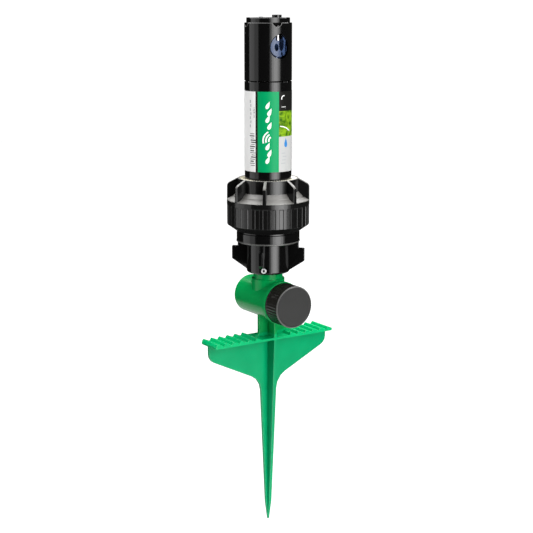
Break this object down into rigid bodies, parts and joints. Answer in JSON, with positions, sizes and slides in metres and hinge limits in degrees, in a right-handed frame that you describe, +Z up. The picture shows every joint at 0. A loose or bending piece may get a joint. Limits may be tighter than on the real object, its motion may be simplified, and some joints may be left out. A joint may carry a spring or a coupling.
{
  "type": "rotor sprinkler on stake",
  "caption": "Gear-driven rotor sprinkler: turret with side nozzle on a tall riser, ribbed clamp cap and winged base, on a hose stake with foot plate and capped outlet.",
  "frame": {"origin": "centre of the foot plate's underside, on the riser axis", "axes": "+Z up the riser, -Y out of the capped hose outlet, +Y out of the hose inlet, X along the foot plate"},
  "size_m": [0.1116, 0.0692, 0.4076],
  "materials": {
    "stake_green": "satin",
    "black_plastic": "gloss",
    "cap_black": "matte",
    "nozzle_blue": "gloss",
    "cream_plastic": "satin",
    "label_print": "satin",
    "steel": "satin",
    "black_rubber": "matte",
    "gear_acetal": "satin",
    "grey_plastic": "satin"
  },
  "bodies": {
    "stake": {"ground_spike": "stake_green", "hose_inlet_washer": "black_rubber", "base_housing": "black_plastic", "base_set_screw": "steel", "post_seal": "black_rubber", "riser_gasket": "black_rubber"},
    "cap_washer": {"outlet_cap_washer": "black_rubber"},
    "cap": {"outlet_cap": "cap_black"},
    "wiper": {"wiper_seal": "black_rubber"},
    "clamp": {"clamp_cap": "black_plastic", "ratchet_ring": "cream_plastic"},
    "riser": {"riser_tube": "black_plastic", "riser_label": "label_print", "filter_basket": "grey_plastic", "stator": "grey_plastic", "bypass_spring": "steel", "layshaft": "steel", "gear_case_lower": "grey_plastic", "gear_case_upper": "grey_plastic", "turbine_bearing": "steel", "bearing_plate": "grey_plastic", "drive_seal": "black_rubber"},
    "bypass": {"bypass_valve": "gear_acetal"},
    "reverser": {"reversing_plate": "gear_acetal", "trip_rod": "steel"},
    "turbine": {"turbine_wheel": "gear_acetal", "turbine_shaft": "steel", "turbine_pinion": "gear_acetal"},
    "lower_lay_gear": {"layshaft_gear_lower": "gear_acetal"},
    "middle_gear": {"centre_gear": "gear_acetal"},
    "upper_lay_gear": {"layshaft_gear_upper": "gear_acetal"},
    "turret": {"output_gear": "gear_acetal", "clutch_ring": "black_rubber", "drive_tube": "grey_plastic", "turret_housing": "black_plastic", "top_cover": "black_plastic", "nozzle": "nozzle_blue"},
    "arc_stop": {"arc_stop_ring": "grey_plastic"},
    "arc_key": {"arc_adjuster": "grey_plastic"},
    "radius_seal": {"radius_screw_seal": "black_rubber"},
    "radius_key": {"radius_screw": "steel"}
  },
  "joints": [
    {"name": "outlet_cap_travel", "type": "slide", "parent": "stake", "child": "cap_washer", "axis": [0, -1, 0], "range_m": [0, 0.0066]},
    {"name": "outlet_cap_turn", "type": "hinge", "parent": "cap_washer", "child": "cap", "pos_m": [0, -0.03, 0.0317], "axis": [0, -1, 0], "range_deg": [0, 1080]},
    {"name": "clamp_cap_travel", "type": "slide", "parent": "stake", "child": "wiper", "axis": [0, 0, 1], "range_m": [0, 0.012]},
    {"name": "clamp_cap_turn", "type": "hinge", "parent": "wiper", "child": "clamp", "pos_m": [0, 0, 0.1], "axis": [0, 0, 1], "range_deg": [0, 1080]},
    {"name": "riser_turn", "type": "hinge", "parent": "stake", "child": "riser", "pos_m": [0, 0, 0.15], "axis": [0, 0, 1], "continuous": true},
    {"name": "bypass_lift", "type": "slide", "parent": "riser", "child": "bypass", "axis": [0, 0, 1], "range_m": [0, 0.0025], "stiffness_N_per_m": 300, "springref_m": -0.001, "deforming": ["bypass_spring"]},
    {"name": "reversing_throw", "type": "hinge", "parent": "riser", "child": "reverser", "pos_m": [0, 0, 0.117], "axis": [0, 0, 1], "range_deg": [-8, 8]},
    {"name": "turret_turn", "type": "hinge", "parent": "riser", "child": "turret", "pos_m": [0, 0, 0.2], "axis": [0, 0, 1], "range_deg": [-162, 162]},
    {"name": "upper_lay_gear_spin", "type": "hinge", "parent": "riser", "child": "upper_lay_gear", "pos_m": [0.007, 0, 0.142], "axis": [0, 0, 1], "continuous": true},
    {"name": "middle_gear_spin", "type": "hinge", "parent": "riser", "child": "middle_gear", "pos_m": [0, 0, 0.138], "axis": [0, 0, 1], "continuous": true},
    {"name": "lower_lay_gear_spin", "type": "hinge", "parent": "riser", "child": "lower_lay_gear", "pos_m": [0.007, 0, 0.133], "axis": [0, 0, 1], "continuous": true},
    {"name": "turbine_spin", "type": "hinge", "parent": "riser", "child": "turbine", "pos_m": [0, 0, 0.123], "axis": [0, 0, 1], "continuous": true},
    {"name": "arc_stop_turn", "type": "hinge", "parent": "turret", "child": "arc_stop", "pos_m": [0, 0, 0.2077], "axis": [0, 0, 1], "range_deg": [0, 150]},
    {"name": "arc_key_turn", "type": "hinge", "parent": "turret", "child": "arc_key", "pos_m": [0.00064, 0.01108, 0.23], "axis": [0, 0, 1], "range_deg": [-675, 0]},
    {"name": "radius_screw_travel", "type": "slide", "parent": "turret", "child": "radius_seal", "axis": [0, 0, 1], "range_m": [-0.0025, 0.0035]},
    {"name": "radius_screw_turn", "type": "hinge", "parent": "radius_seal", "child": "radius_key", "pos_m": [-0.00082, -0.01418, 0.243], "axis": [0, 0, 1], "range_deg": [-1286, 1801]}
  ],
  "couplings": [
    {"joint": "outlet_cap_turn", "follows": "outlet_cap_travel", "rad_per_m": 2844.4},
    {"joint": "clamp_cap_turn", "follows": "clamp_cap_travel", "rad_per_m": 1570.8},
    {"joint": "upper_lay_gear_spin", "follows": "turret_turn", "ratio": -2.5},
    {"joint": "middle_gear_spin", "follows": "turret_turn", "ratio": 6.25},
    {"joint": "lower_lay_gear_spin", "follows": "turret_turn", "ratio": -15.625},
    {"joint": "turbine_spin", "follows": "turret_turn", "ratio": 39.062},
    {"joint": "arc_key_turn", "follows": "arc_stop_turn", "ratio": -4.5},
    {"joint": "radius_screw_turn", "follows": "radius_screw_travel", "rad_per_m": 8976}
  ]
}
